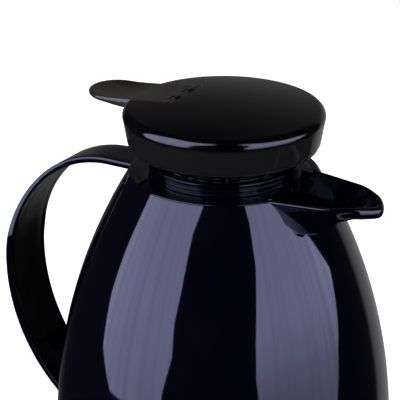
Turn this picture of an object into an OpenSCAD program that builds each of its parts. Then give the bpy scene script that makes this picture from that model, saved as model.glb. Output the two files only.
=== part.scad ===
// Vacuum jug with a press-lever closure.
// Millimetres, +Z up along the jug's axis, spout towards +X, handle and lever towards -X.
// The origin lies on the axis, on the surface that the jug stands on.

/* [Body] */
// Widest diameter of the body
body_d = 146.4; // [142:0.2:152]
// Height of the widest point
belly_z = 74; // [70:1:80]
// Height of the body's top edge
shoulder_z = 192; // [188:1:200]
// Diameter of the body's top edge
shoulder_d = 81.3; // [80:0.1:86]
// Diameter that the side would have at the ground
foot_d = 116; // [110:1:122]
// Radius of the rounded corner at the foot
foot_round = 8; // [6:0.5:10]
// Wall of the moulded shell
wall = 2.5; // [2.2:0.1:3]

/* [Glass liner] */
// Gap between the shell and the outer glass
liner_gap = 4; // [3.5:0.1:5]
// Thickness of each glass wall
glass_t = 1.6; // [1.4:0.1:2]
// Gap between the two glass walls
vacuum_gap = 3; // [2.5:0.1:3.5]
// Outer radius of the glass neck
glass_neck_r = 25; // [24:0.1:25.5]
// Height of the lowest point of the outer glass
glass_base_z = 12; // [11:0.5:14]
// Diameter of the spacer pads between the glass walls
pad_d = 10; // [8:0.5:12]

/* [Pouring collar] */
// Wall of the sleeve that holds the neck ring
sleeve_t = 2; // [1.8:0.1:2.4]
// Reach of the spout's tip from the axis
spout_reach = 76.5; // [74:0.5:80]
// Width of the spout's rim at its root
spout_w = 43; // [41:0.5:45]
// Depth of the spout below its rim, where it leaves the body
spout_drop = 17.8; // [16.5:0.1:18.5]
// Height of the lip at the spout's tip
spout_lip = 5; // [4:0.1:5.5]
// Depth of the pouring channel at the neck
channel_depth = 14; // [12.5:0.5:14.5]
// Wall of the spout
spout_wall = 2.2; // [2:0.1:2.6]

/* [Neck ring] */
// Bore of the neck that the stopper goes into
neck_bore_d = 56; // [55.6:0.1:56.4]
// Wall of the neck ring
neck_wall = 3; // [2.8:0.1:3.2]
// Height of the ring's rim above the ledge
neck_rise = 5.65; // [5.2:0.05:6]
// Thickness of the seat at the bottom of the ring
neck_seat_t = 2.5; // [2:0.1:3]

/* [Handle] */
// Reach of the handle's outer face beyond the body's widest point
handle_out = 33.1; // [32:0.1:36]
// Thickness of the strap
strap_t = 2.9; // [2.7:0.1:3.2]
// Width of the strap from mid-height down
strap_w = 27; // [25:0.5:29]
// Width of the strap at its crest
crest_w = 18.5; // [17:0.5:20]
// Outer radius of the strap's upper side
upper_bend_r = 59.5; // [58:0.5:61]
// Outer radius of the strap's crest
crest_r = 50; // [49:0.5:52]
// Outer radius of the strap's lower side
lower_bend_r = 79; // [77:0.5:81]
// Depth of the crest's top face below the body's top edge
crest_drop = 2.3; // [2:0.1:2.6]
// Thickness of the inlay on the inner face
inlay_t = 1.2; // [1:0.1:1.4]
// Margin of the strap beside the inlay
inlay_margin = 3; // [2.5:0.1:3.5]

/* [Base] */
// Height of the shell's lower edge above the ground
shell_lift = 1.2; // [1:0.1:1.5]
// Diameter of the opening that the base screws into
base_d = 100; // [96:1:102]
// Height of the base's threaded wall
base_wall_h = 13; // [11:0.5:14]
// Diameter of the non-slip foot pad
foot_pad_d = 88; // [80:1:90]
// Thickness of the foot pad
foot_pad_t = 1.6; // [1.5:0.1:1.8]

/* [Cap] */
// Height of the cap's apex
cap_z = 224; // [223:0.5:226]
// Diameter of the cap at its widest edge
cap_d = 86.4; // [85:0.1:88]
// Diameter of the band near its lower edge
band_d = 82.4; // [81.5:0.1:83]
// Height of the band's lower edge above the body's top edge
band_rise = 12.3; // [12:0.1:12.6]
// Radius of the dome's sphere
dome_r = 247; // [240:1:255]
// Radius of the rounded edge between dome and band
cap_round = 3.5; // [3:0.1:4]
// Wall of the cap
cap_t = 2; // [1.8:0.1:2.2]

/* [Lever] */
// Width of the lever
lever_w = 24.6; // [23.6:0.1:25.2]
// Distance of the lever's pivot from the axis
pivot_x = 20.8; // [20.4:0.1:21.2]
// Depth of the pivot below the cap's apex
pivot_drop = 3; // [2.9:0.05:3.2]
// Distance of the centre of the lever's rounded end from the axis
thumb_x = 54; // [52:0.5:56]
// Radius of the hollow for the thumb
thumb_dish_r = 48; // [44:1:54]
// Depth of the hollow for the thumb
thumb_dish = 1.3; // [1:0.1:1.5]
// Gap between the lever and its recess
lever_gap = 0.5; // [0.4:0.05:0.7]
// Diameter of the hinge pin
pin_d = 2.4; // [2.2:0.1:2.6]
// Travel of the lever, degrees
lever_travel = 10; // [9:0.5:10]

/* [Stopper] */
// Clearance between the stopper and the neck bore, on the radius
stopper_gap = 0.5; // [0.4:0.05:0.6]
// Wall of the stopper
stopper_wall = 2.9; // [2.6:0.1:3.1]
// Thickness of the closure's seal
closure_seal_t = 3; // [2.6:0.1:3.4]
// Thickness of the stopper's floor
stopper_floor_t = 2.5; // [2.2:0.1:2.8]
// Thickness of the deck under the cap
deck_t = 2; // [1.8:0.1:2.4]
// Number of fins that carry the deck, with a pouring window between each two
fin_count = 10; // [6:2:14]
// Thickness of a fin
fin_t = 2.4; // [2:0.1:2.8]
// Reach of the fins from the axis
fin_reach = 36.5; // [35:0.1:37]

/* [Valve] */
// Diameter of the valve rod
rod_d = 5; // [4.8:0.1:5.2]
// Running clearance of the rod in its guide, on the radius
rod_gap = 0.08; // [0.05:0.01:0.1]
// Diameter of the valve plate
plate_d = 30; // [28:0.5:31]
// Thickness of the valve plate
plate_t = 2.5; // [2.2:0.1:2.8]
// Thickness of the valve's seal
valve_seal_t = 1.5; // [1.2:0.1:1.8]
// Diameter of the hole that the valve closes
port_d = 23; // [21:0.5:24]
// Gap between the lever's fork and the rod's head
fork_gap = 0.3; // [0.25:0.05:0.4]

/* [Hidden] */
$fn = 96;
fine = 360;

navy = "#11142a";
black = "#15151a";
rubber = "#2b2b2d";
silicone = "#b9bcc0";
steel = "#b4b8bd";
glass = "#c9d6dc";

// Radius of the arc that moves in by reach over a height of rise, starting upright
function arc_radius(reach, rise) = (reach * reach + rise * rise) / (2 * reach);
// Point at an angle and distance from a centre
function at_angle(c, r, a) = c + r * [cos(a), sin(a)];

body_r = body_d / 2;
overlap = 4;
upper_r = arc_radius(body_r - shoulder_d / 2, shoulder_z - belly_z);
lower_r = arc_radius(body_r - foot_d / 2, belly_z);

// Body radius at a height above the belly, with the surface moved in by inset
function upper_side(z, inset = 0) = body_r - upper_r + sqrt(pow(upper_r - inset, 2) - pow(z - belly_z, 2));

// Rounded corner inside the lower side: centre and the height where corner and side meet
function low_x(side, base, r) =
    body_r - lower_r + sqrt(pow(lower_r - side - r, 2) - pow(belly_z - base - r, 2));
function low_join(side, base, r, inset) =
    base + r - (r - inset) * (belly_z - base - r) / (lower_r - side - r);
// Rounded shoulder inside the upper side: the same, from its highest point down
function high_x(side, top, r) =
    body_r - upper_r + sqrt(pow(upper_r - side - r, 2) - pow(top - r - belly_z, 2));
function high_join(side, top, r, inset) =
    top - r + (r - inset) * (top - r - belly_z) / (upper_r - side - r);

// Area inside the body's side between two heights
module side_area(inset, low, high) {
    intersection() {
        translate([body_r - upper_r, belly_z]) circle(upper_r - inset, $fn = fine);
        translate([0, belly_z]) square([body_r, high - belly_z]);
    }
    intersection() {
        translate([body_r - lower_r, belly_z]) circle(lower_r - inset, $fn = fine);
        translate([0, low]) square([body_r, belly_z - low + overlap]);
    }
}

// Rounded lower end of an area that follows the side, and runs a little way up inside it
module low_end(side, base, r, inset) {
    x = low_x(side, base, r);
    high = low_join(side, base, r, inset) + overlap;
    intersection() {
        translate([x, base + r]) circle(r - inset, $fn = fine);
        translate([0, base]) square([body_r, high - base]);
    }
    translate([0, base + inset]) square([x, high - base - inset]);
}

// Rounded upper end of an area that follows the side, and runs a little way down inside it
module high_end(side, top, r, inset) {
    x = high_x(side, top, r);
    low = high_join(side, top, r, inset) - overlap;
    intersection() {
        translate([x, top - r]) circle(r - inset, $fn = fine);
        translate([0, low]) square([body_r, top - low]);
    }
    translate([0, low]) square([x, top - inset - low]);
}

// ---- Heights that stack up through the neck
neck_top_z = shoulder_z + neck_rise;
neck_bore_r = neck_bore_d / 2;
neck_outer_r = neck_bore_r + neck_wall;
mouth_z = 162;
mouth_lip_t = 1.6;
neck_seal_t = 2.5;
neck_floor_z = mouth_z + neck_seal_t;
neck_seat_z = neck_floor_z + neck_seat_t;
stopper_z = neck_seat_z + closure_seal_t;
stopper_floor_z = stopper_z + stopper_floor_t;
stopper_r = neck_bore_r - stopper_gap;
stopper_inner_r = stopper_r - stopper_wall;
deck_z = shoulder_z + 13;
deck_top_z = deck_z + deck_t;

// ---- Glass liner
liner_side = wall + liner_gap;
liner_low_r = 52;
liner_high_r = 38;
liner_top_z = mouth_z - 10;
glass_bore_r = glass_neck_r - 2 * glass_t - vacuum_gap;

module flask_area(inset, neck_top) {
    side_area(liner_side + inset, low_join(liner_side, glass_base_z, liner_low_r, inset),
        high_join(liner_side, liner_top_z, liner_high_r, inset));
    low_end(liner_side, glass_base_z, liner_low_r, inset);
    high_end(liner_side, liner_top_z, liner_high_r, inset);
    translate([0, liner_top_z - liner_high_r]) square([glass_neck_r - inset, neck_top - liner_top_z + liner_high_r]);
}

module glass_outer() {
    tip_h = 5;
    tip_r = 4;
    color(glass, 0.4) {
        rotate_extrude($fn = fine) difference() {
            flask_area(0, mouth_z - mouth_lip_t);
            flask_area(glass_t, mouth_z);
        }
        translate([0, 0, glass_base_z - tip_h]) cylinder(h = tip_h + glass_t / 2, r1 = tip_r / 3, r2 = tip_r);
    }
}

module glass_inner() {
    color(glass, 0.4) rotate_extrude($fn = fine) {
        difference() {
            flask_area(glass_t + vacuum_gap, mouth_z);
            flask_area(2 * glass_t + vacuum_gap, mouth_z + 1);
        }
        translate([glass_bore_r, mouth_z - mouth_lip_t]) square([glass_neck_r - glass_bore_r, mouth_lip_t]);
    }
}

module spacer_pads() {
    color(silicone) intersection() {
        rotate_extrude($fn = fine) difference() {
            flask_area(glass_t, mouth_z);
            flask_area(glass_t + vacuum_gap, mouth_z);
        }
        for (k = [0:2]) rotate([0, 0, 60 + 120 * k]) translate([body_r / 2, 0, belly_z])
            rotate([0, 90, 0]) cylinder(h = body_r, d = pad_d);
    }
}

module neck_seal() {
    seal_r = glass_neck_r + 2;
    skirt = 5;
    color(silicone) rotate_extrude() {
        translate([glass_bore_r, mouth_z]) square([seal_r - glass_bore_r, neck_seal_t]);
        translate([glass_neck_r, mouth_z - skirt]) square([seal_r - glass_neck_r, skirt]);
    }
}

// ---- Base
base_r = base_d / 2;
base_fit = 0.3;
thread_wall = 2;
base_floor_z = shell_lift + wall;
cushion_r = 20;
cushion_seat = 3;

module liner_cushion() {
    tip_hole_r = 5;
    color(rubber) difference() {
        translate([0, 0, base_floor_z]) cylinder(h = glass_base_z - base_floor_z + cushion_seat, r = cushion_r);
        rotate_extrude($fn = fine) flask_area(0, mouth_z);
        translate([0, 0, base_floor_z - 1]) cylinder(h = glass_base_z, r = tip_hole_r);
    }
}

module base_cup() {
    key_holes = 6;
    key_d = 2.5;
    color(black) difference() {
        translate([0, 0, shell_lift]) cylinder(h = base_wall_h, r = base_r - base_fit);
        translate([0, 0, base_floor_z]) cylinder(h = base_wall_h, r = base_r - base_fit - thread_wall);
        translate([0, 0, shell_lift - 1]) cylinder(h = 1 + foot_pad_t - shell_lift, d = foot_pad_d + 2 * base_fit);
        for (k = [0:key_holes - 1]) rotate([0, 0, k * 360 / key_holes])
            translate([(base_r + foot_pad_d / 2) / 2, 0, shell_lift - 1]) cylinder(h = 2, d = key_d);
    }
}

module foot_pad() {
    color(rubber) cylinder(h = foot_pad_t, d = foot_pad_d);
}

// ---- Pouring collar and spout
ledge_t = crest_drop - 0.1;
sleeve_bore_r = neck_outer_r + 0.1;
sleeve_r = sleeve_bore_r + sleeve_t;
sleeve_z = shoulder_z - channel_depth - spout_wall;
spout_root_x = neck_outer_r - 1;
keel_x = upper_side(shoulder_z - spout_drop);
nose_len = 19.5;
lip_x = spout_reach - 4.5;
stations = 24;

// Rim of the spout in plan: a straight side from the root, then a rounded nose
function nose(a, b, c, d, t) =
    a * pow(1 - t, 3) + 3 * b * t * pow(1 - t, 2) + 3 * c * t * t * (1 - t) + d * t * t * t;
function rim_point(u, reach, half, root_x) =
    let (start = [reach - nose_len, half * 0.785], bend = [reach - nose_len * 0.62, half * 0.71])
    u < 0.4 ? [root_x, half * 1.03] * (1 - u / 0.4) + start * u / 0.4
        : nose(start, bend, [reach - 1, half * 0.3], [reach, 1.6], (u - 0.4) / 0.6);
// Underside of the spout along its length: steep at the body, level under the lip
function keel_z(x) =
    x < keel_x ? shoulder_z - spout_drop + min(spout_drop - channel_depth - spout_wall, (keel_x - x) / 2)
    : shoulder_z - spout_lip - (spout_drop - spout_lip) * pow(max(0, lip_x - x) / (lip_x - keel_x), 1.6);
// Slope of the spout's flat flanks, which turn upright at the tip
function flank_slope(x) = 0.473 * min(1, max(0, (lip_x - 2 - x) / 8));

// Half of the spout's section, from above the rim down the flank and round its lower edge to the keel
function spout_half(x, w, low) =
    let (bead = min(0.6, w / 4), under = shoulder_z - 1.8, edge_z = low + 0.22 * (shoulder_z - low),
        edge = [max(w - bead - flank_slope(x) * (under - edge_z), w * 0.3), edge_z],
        flank = [w - bead, under], r = min(3.5, edge[0] * 0.6, (under - edge_z) / 2),
        a = edge + (flank - edge) * r / norm(flank - edge),
        c = edge + ([0, low] - edge) * min(0.8, r / edge[0]))
    concat([[w, shoulder_z + 5], [w, under + 0.6], flank],
        [for (t = [0:0.2:1]) a * pow(1 - t, 2) + 2 * edge * t * (1 - t) + c * t * t],
        [(c + [0, low]) / 2]);

function spout_ring(x, w, low) =
    let (half = spout_half(x, w, low), last = len(half) - 1)
    concat([for (q = half) [x, -q[0], q[1]]], [[x, 0, low]],
        [for (j = [last:-1:0]) [x, half[j][0], half[j][1]]]);

// Loft through mirrored rings of equal length; strips between the mirrored points close both ends
module loft(rings) {
    n = len(rings[0]);
    last = len(rings) - 1;
    mid = (n - 1) / 2;
    strips = concat([for (j = [0:mid - 2]) [j, j + 1, n - 2 - j, n - 1 - j]], [[mid - 1, mid, mid + 1]]);
    polyhedron(points = [for (ring = rings) each ring],
        faces = concat(strips,
            [for (i = [0:last - 1]) for (j = [0:n - 1]) for (half = [0, 1])
                let (a = i * n + j, b = i * n + (j + 1) % n)
                half == 0 ? [a, a + n, b + n] : [a, b + n, b]],
            [for (s = strips) [for (k = [len(s) - 1:-1:0]) last * n + s[k]]]));
}

module spout_form() {
    intersection() {
        loft([for (i = [0:stations])
            let (p = rim_point(i / stations, spout_reach, spout_w / 2, spout_root_x - spout_wall))
            spout_ring(p[0], p[1], keel_z(p[0]))]);
        translate([0, -spout_w, 0]) cube([2 * spout_reach, 2 * spout_w, shoulder_z + 0.001]);
    }
}

module spout_channel() {
    loft([for (i = [0:stations])
        let (p = rim_point(i / stations, spout_reach - spout_wall, spout_w / 2 - spout_wall, spout_root_x))
        spout_ring(p[0], p[1], max(keel_z(p[0]) + spout_wall, shoulder_z - channel_depth))]);
}

module spout_collar() {
    color(navy) difference() {
        union() {
            rotate_extrude($fn = fine) difference() {
                side_area(wall, shoulder_z - ledge_t, shoulder_z);
                square([body_d, shoulder_z - ledge_t]);
            }
            translate([0, 0, sleeve_z]) cylinder(h = shoulder_z - sleeve_z, r = sleeve_r);
            spout_form();
        }
        difference() {
            spout_channel();
            cylinder(h = shoulder_z + 10, r = sleeve_r);
        }
        translate([0, 0, sleeve_z - 20]) cylinder(h = 60, r = sleeve_bore_r);
    }
}

module neck_ring() {
    foot_r = sleeve_bore_r + 1;
    groove_r = foot_r - 0.7;
    bead = 0.9;
    color(navy) rotate_extrude() {
        difference() {
            translate([0, neck_floor_z]) square([neck_outer_r, neck_top_z - neck_floor_z]);
            translate([0, neck_seat_z]) square([neck_bore_r, neck_top_z]);
            square([glass_bore_r + 1.2, neck_top_z]);
        }
        translate([neck_bore_r + 1, shoulder_z]) square([foot_r - neck_bore_r - 1, bead]);
        translate([neck_bore_r + 1, shoulder_z]) square([groove_r - neck_bore_r - 1, neck_rise - bead]);
        translate([neck_bore_r + 1, shoulder_z + 2.1]) square([foot_r - neck_bore_r - 1, bead]);
        translate([foot_r - bead / 2, neck_top_z - bead]) circle(bead);
        translate([neck_bore_r + 1, neck_top_z - 2 * bead]) square([foot_r - neck_bore_r - 1 - bead / 2, 2 * bead]);
    }
}

module body_shell() {
    color(navy) difference() {
        rotate_extrude($fn = fine) {
            difference() {
                union() {
                    side_area(0, low_join(0, shell_lift, foot_round, 0), shoulder_z);
                    low_end(0, shell_lift, foot_round, 0);
                }
                side_area(wall, low_join(0, shell_lift, foot_round, wall), shoulder_z);
                low_end(0, shell_lift, foot_round, wall);
                square([base_r, shell_lift + 2 * wall]);
            }
            translate([base_r, shell_lift + wall / 2]) square([thread_wall, base_wall_h - wall / 2]);
        }
        spout_form();
        handle_tongue(base_fit / 2);
        handle_screw_places() cylinder(h = 30, d = screw_d + 2 * base_fit, center = true);
    }
}

// ---- Handle: three arcs that meet without a corner, and a flat crest
handle_reach = body_r + handle_out;
crest_z = shoulder_z - crest_drop;
bend_z = crest_z - crest_r - (upper_bend_r - crest_r) * sin(45);
upper_c = [upper_bend_r - handle_reach, bend_z];
crest_c = at_angle(upper_c, upper_bend_r - crest_r, 135);
lower_c = [lower_bend_r - handle_reach, bend_z];
foot_z = 62;
heel_z = foot_z + 30;
inlay_fit = 0.1;
screw_d = 3.5;
screw_z = foot_z + 15;
screw_spacing = 13;
screw_reach = 6;
tongue_x = shoulder_d / 2 - wall - 2;

// Angle on the strap's lower arc at a height
function low_angle(z) = 180 + asin((bend_z - z) / lower_bend_r);
// Distance of the strap's lower side from the axis at a height, at a depth under its outer face
function lower_strap_x(z, depth) = sqrt(pow(lower_bend_r - depth, 2) - pow(z - bend_z, 2)) - lower_c[0];

// Sector between two angles of a circle
module sector(c, r, from, to) {
    reach = 2 * r;
    intersection() {
        translate(c) circle(r, $fn = fine);
        polygon([c, at_angle(c, reach, from), at_angle(c, reach, (from + to) / 2), at_angle(c, reach, to)]);
    }
}

// Area inside the strap at a depth under its outer face; each circle touches the next larger one from inside
module inside_strap(depth) {
    translate(crest_c) circle(crest_r - depth, $fn = fine);
    sector(upper_c, upper_bend_r - depth, 135, 200);
    sector(lower_c, lower_bend_r - depth, 180, 260);
}

// Side view of the strap between two depths
module strap_area(near, far, end_z) {
    reach = 2 * handle_reach;
    intersection() {
        difference() {
            inside_strap(near);
            inside_strap(far);
        }
        polygon([crest_c, crest_c + [0, reach], [-reach, reach], [-reach, bend_z],
            at_angle(lower_c, reach, low_angle(end_z)), lower_c]);
    }
}

// Plate of the handle's width at each height, with its sides moved in by margin
module strap_width(margin) {
    wide = strap_w / 2 - margin;
    slim = crest_w / 2 - margin;
    rotate([90, 0, 90]) linear_extrude(2 * handle_reach, center = true)
        polygon([[-wide, 0], [wide, 0], [wide, bend_z + 10], [slim, crest_z - 6], [slim, crest_z + 10],
            [-slim, crest_z + 10], [-slim, crest_z - 6], [-wide, bend_z + 10]]);
}

module in_side_view(width) {
    rotate([90, 0, 0]) linear_extrude(width, center = true) children();
}

// End of the strap that hooks through the shell under the ledge
module handle_tongue(clearance) {
    in_side_view(crest_w + 2 * clearance)
        translate([crest_c[0], crest_z - strap_t - clearance])
            square([-crest_c[0] - tongue_x + clearance, strap_t + 2 * clearance]);
}

module handle_screw_places() {
    for (side = [-1, 1]) translate([-body_r, side * screw_spacing / 2, screw_z]) rotate([0, -90, 0]) children();
}

module body_solid() {
    rotate_extrude($fn = fine) {
        side_area(0, low_join(0, shell_lift, foot_round, 0), shoulder_z);
        low_end(0, shell_lift, foot_round, 0);
    }
}

module handle_strap() {
    heel_w = lower_strap_x(heel_z, strap_t) - body_r;
    color(navy) difference() {
        union() {
            intersection() {
                in_side_view(strap_w) strap_area(0, strap_t, foot_z);
                strap_width(0);
            }
            in_side_view(strap_w) difference() {
                intersection() {
                    translate(lower_c) circle(lower_bend_r, $fn = fine);
                    translate([-handle_reach, foot_z]) square([handle_reach - body_r + 10, heel_z - foot_z]);
                }
                translate([-body_r - heel_w / 2, heel_z]) circle(heel_w / 2);
            }
            difference() {
                handle_tongue(0);
                translate([0, 0, crest_z - 2 * strap_t]) cylinder(h = 3 * strap_t, r = tongue_x);
            }
        }
        difference() {
            body_solid();
            handle_tongue(0.01);
        }
        intersection() {
            in_side_view(strap_w) strap_area(strap_t - inlay_t, strap_t + 1, heel_z);
            strap_width(inlay_margin);
        }
        handle_screw_places() translate([0, 0, -wall]) cylinder(h = wall + screw_reach + 0.8, d = screw_d - 0.4);
    }
}

module handle_inlay() {
    color(black) intersection() {
        in_side_view(strap_w) strap_area(strap_t - inlay_t, strap_t - inlay_fit, heel_z + inlay_fit);
        strap_width(inlay_margin + inlay_fit);
    }
}

module handle_screws() {
    head_d = 7;
    head_t = 2.2;
    sunk = wall + 1.5;
    color(steel) handle_screw_places() {
        translate([0, 0, -wall - head_t - 1]) cylinder(h = head_t, d = head_d);
        translate([0, 0, -sunk]) cylinder(h = sunk + screw_reach, d = screw_d - 0.4);
    }
}

// ---- Closure
cap_r = cap_d / 2;
band_r = band_d / 2;
band_z = shoulder_z + band_rise;
dome_c = cap_z - dome_r;
pivot_z = cap_z - pivot_drop;
knuckle_r = 2.1;
slot_end_x = -pivot_x + knuckle_r + 0.5;
slot_w = lever_w + 2 * lever_gap;
slot_wall = 1.6;

// Area inside the cap's outer face, moved in by inset
module cap_area(inset) {
    reach = dome_r - cap_round;
    x = cap_r - cap_round;
    z = dome_c + sqrt(reach * reach - x * x);
    join = (dome_r - inset) * x / reach;
    join_z = dome_c + (dome_r - inset) * (z - dome_c) / reach;
    intersection() {
        translate([0, dome_c]) circle(dome_r - inset, $fn = 720);
        translate([0, band_z]) square([join, cap_z - band_z]);
    }
    translate([x, z]) circle(cap_round - inset);
    polygon([[0, band_z], [band_r - 1.8 - inset, band_z], [band_r - inset, band_z + 1.8], [cap_r - inset, z],
        [join, join_z], [0, join_z]]);
}

// Floor line of the lever's recess, from its inner end outwards
recess_inner = [slot_end_x - 6.5, pivot_z - 4.6];
recess_outer = [-cap_r - 1, pivot_z - 10];

module recess_side(drop) {
    polygon([[slot_end_x, cap_z + 5], [slot_end_x, pivot_z - 1], recess_inner - [0, drop], recess_outer - [0, drop],
        [recess_outer[0], cap_z + 5]]);
}

// Axis of the hinge, along Y
module on_pivot(r, from, to) {
    translate([-pivot_x, from, pivot_z]) rotate([-90, 0, 0]) cylinder(h = to - from, r = r);
}

knuckle_in = 2.9;
knuckle_out = 7.7;

module cap() {
    color(black) difference() {
        union() {
            difference() {
                union() {
                    rotate_extrude($fn = fine) difference() {
                        cap_area(0);
                        cap_area(cap_t);
                        square([band_r - cap_t, deck_top_z]);
                    }
                    intersection() {
                        rotate_extrude($fn = fine) cap_area(0.01);
                        in_side_view(slot_w + 2 * slot_wall) recess_side(slot_wall);
                        translate([-cap_r, 0, deck_top_z + cap_d / 2]) cube(cap_d, center = true);
                    }
                }
                in_side_view(slot_w) recess_side(0);
                in_side_view(slot_w) polygon([recess_inner, [slot_end_x, pivot_z - 1], [slot_end_x, deck_top_z],
                    [recess_inner[0], deck_top_z]]);
            }
            for (side = [0, 1]) mirror([0, side, 0]) {
                on_pivot(knuckle_r, knuckle_in, knuckle_out);
                translate([-pivot_x, knuckle_in, pivot_z - knuckle_r])
                    cube([slot_end_x + pivot_x + 1.5, knuckle_out - knuckle_in, knuckle_r + 1.2]);
            }
        }
        on_pivot(pin_d / 2, -slot_w / 2 - 1, slot_w / 2 + 1);
    }
}

module lever_pin() {
    color(steel) on_pivot(pin_d / 2, -slot_w / 2 - 0.9, slot_w / 2 + 0.9);
}

// Lever: plate outside the pivot, arm and fork inside it
head_z = pivot_z - 6.1;
head_t = 2;
head_r = 7;
rod_r = rod_d / 2;
hub_r = rod_r + 1.3;
nose_r = 1.7;
fork_z = head_z - fork_gap - nose_r;
fork_half = hub_r + 0.6;
fork_swing = 2;
pin_run = 0.08;

// Share of the lever's length at which its tip lies
function lever_end_share() = 1 + lever_w / 2 / (thumb_x - pivot_x);
// Point of the lever at a share of the way from its pivot to its rounded end
function lever_point(share, rise) = [-pivot_x - share * (thumb_x - pivot_x), pivot_z + rise];

module lever_side() {
    tip = lever_end_share();
    polygon([[-pivot_x + knuckle_r, pivot_z + 1.9], lever_point(0.22, 0.95), lever_point(0.53, -0.3),
        lever_point(0.82, -1.3), lever_point(1.03, -1.75), lever_point(tip, -1.7), lever_point(tip, -3.4),
        lever_point(1.03, -4.1), lever_point(0.67, -4.9), lever_point(0.28, -3.6), lever_point(0.075, -1.6),
        lever_point(0, -0.5), [-pivot_x + knuckle_r, pivot_z - 0.5]]);
}

module thumb_lever() {
    plate_end = -pivot_x + knuckle_r;
    color(black) difference() {
        union() {
            intersection() {
                in_side_view(lever_w) lever_side();
                union() {
                    translate([-thumb_x, 0, 0]) cylinder(h = cap_z + 10, d = lever_w, $fn = fine);
                    translate([-thumb_x, -lever_w / 2, 0]) cube([thumb_x + plate_end, lever_w, cap_z + 10]);
                }
            }
            on_pivot(knuckle_r, -lever_w / 2, lever_w / 2);
            in_side_view(2 * knuckle_in - 0.6) polygon([[-pivot_x - 1.2, pivot_z], [-pivot_x + 1.9, pivot_z + 0.6],
                [-13.5, fork_z + nose_r], [-10, fork_z + nose_r], [-10, fork_z - nose_r], [-14.5, fork_z - nose_r]]);
            difference() {
                translate([-13.5, -head_r, fork_z - nose_r]) cube([13.5, 2 * head_r, 2 * nose_r]);
                translate([-fork_half - fork_swing, -fork_half, fork_z - 5])
                    cube([3 * fork_half, 2 * fork_half, 10]);
            }
            for (side = [0, 1]) mirror([0, side, 0]) translate([0, fork_half, fork_z]) rotate([-90, 0, 0])
                cylinder(h = head_r - fork_half, r = nose_r);
        }
        translate([-thumb_x, 0, pivot_z - 1.75 - thumb_dish + thumb_dish_r]) sphere(thumb_dish_r, $fn = fine);
        on_pivot(pin_d / 2 + pin_run, -lever_w, lever_w);
        for (side = [0, 1]) mirror([0, side, 0])
            translate([-pivot_x - knuckle_r - 0.4, knuckle_in - 0.3, pivot_z - knuckle_r - 1])
                cube([3 * knuckle_r, knuckle_out - knuckle_in + 0.6, 3 * knuckle_r]);
    }
}

// ---- Stopper
guide_wall = 1.6;
guide_z = deck_z - 13;
boss_r = rod_r + rod_gap + guide_wall + 2;
boss_h = 2.5;
stem_seal_t = 1.6;
valve_seat_r = 18;
spring_r = rod_r + 3.2;
spring_wire = 1.1;

module stopper() {
    deck_r = band_r - cap_t - 0.1;
    fin_z = neck_top_z + 1.3;
    color(black) difference() {
        union() {
            rotate_extrude() {
                translate([stopper_inner_r, stopper_z]) square([stopper_wall, neck_top_z - stopper_z]);
                translate([valve_seat_r, stopper_z]) square([stopper_r - valve_seat_r, stopper_floor_t]);
                translate([0, deck_z]) square([deck_r, deck_t]);
                translate([0, guide_z]) square([rod_r + rod_gap + guide_wall, deck_z - guide_z + deck_t]);
                translate([0, deck_z]) square([boss_r, deck_t + boss_h]);
            }
            for (k = [0:fin_count - 1]) rotate([0, 0, (k + 0.5) * 360 / fin_count]) {
                translate([stopper_inner_r, -fin_t / 2, neck_top_z - 0.5])
                    cube([stopper_wall, fin_t, deck_z - neck_top_z + 1]);
                translate([stopper_inner_r, -fin_t / 2, fin_z])
                    cube([fin_reach - stopper_inner_r, fin_t, deck_z - fin_z + 0.5]);
            }
        }
        translate([0, 0, guide_z - 1]) cylinder(h = deck_z, r = rod_r + rod_gap);
        translate([0, 0, deck_top_z]) cylinder(h = boss_h + 1, r = boss_r - 1.4);
    }
}

module closure_seal() {
    color(silicone) rotate_extrude() translate([glass_bore_r + 2, neck_seat_z])
        square([stopper_r - glass_bore_r - 2, closure_seal_t]);
}

module valve_seat() {
    color(black) rotate_extrude() translate([port_d / 2, stopper_z])
        square([valve_seat_r - port_d / 2, stopper_floor_t]);
}

module stem_seal() {
    color(silicone) rotate_extrude() translate([rod_r + 0.05, deck_top_z])
        square([boss_r - 1.4 - rod_r - 0.05, stem_seal_t]);
}

// ---- Valve
valve_z = stopper_floor_z + valve_seal_t;
plate_top_z = valve_z + plate_t;
rod_foot_r = 5;
rod_foot_t = 1.2;

module valve_rod() {
    color(steel) {
        translate([0, 0, valve_z - rod_foot_t]) cylinder(h = head_z + head_t - 0.8 - valve_z + rod_foot_t, r = rod_r);
        translate([0, 0, valve_z - rod_foot_t]) cylinder(h = rod_foot_t, r = rod_foot_r);
    }
}

module valve_plate() {
    color(black) difference() {
        translate([0, 0, valve_z]) cylinder(h = plate_t, d = plate_d);
        translate([0, 0, valve_z - 1]) cylinder(h = plate_t + 2, r = rod_r);
    }
}

module valve_seal() {
    color(silicone) rotate_extrude() translate([port_d / 2 - 1.5, stopper_floor_z])
        square([plate_d / 2 - port_d / 2 + 1.5, valve_seal_t]);
}

module rod_head() {
    color(black) difference() {
        union() {
            translate([0, 0, head_z]) cylinder(h = head_t, r = head_r);
            translate([0, 0, head_z - 4]) cylinder(h = 5, r = hub_r);
        }
        translate([0, 0, head_z - 5]) cylinder(h = 4.2 + head_t, r = rod_r);
    }
}

module return_spring() {
    color(steel) translate([0, 0, plate_top_z]) difference() {
        cylinder(h = deck_z - plate_top_z, r = spring_r);
        translate([0, 0, -1]) cylinder(h = deck_z, r = spring_r - spring_wire);
    }
}

body_shell();
spout_collar();
neck_ring();
handle_strap();
handle_inlay();
handle_screws();
glass_outer();
glass_inner();
spacer_pads();
neck_seal();
liner_cushion();
base_cup();
foot_pad();
closure_seal();
stopper();
valve_seat();
stem_seal();
cap();
lever_pin();
return_spring();
thumb_lever();
valve_rod();
rod_head();
valve_plate();
valve_seal();
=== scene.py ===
import math

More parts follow.
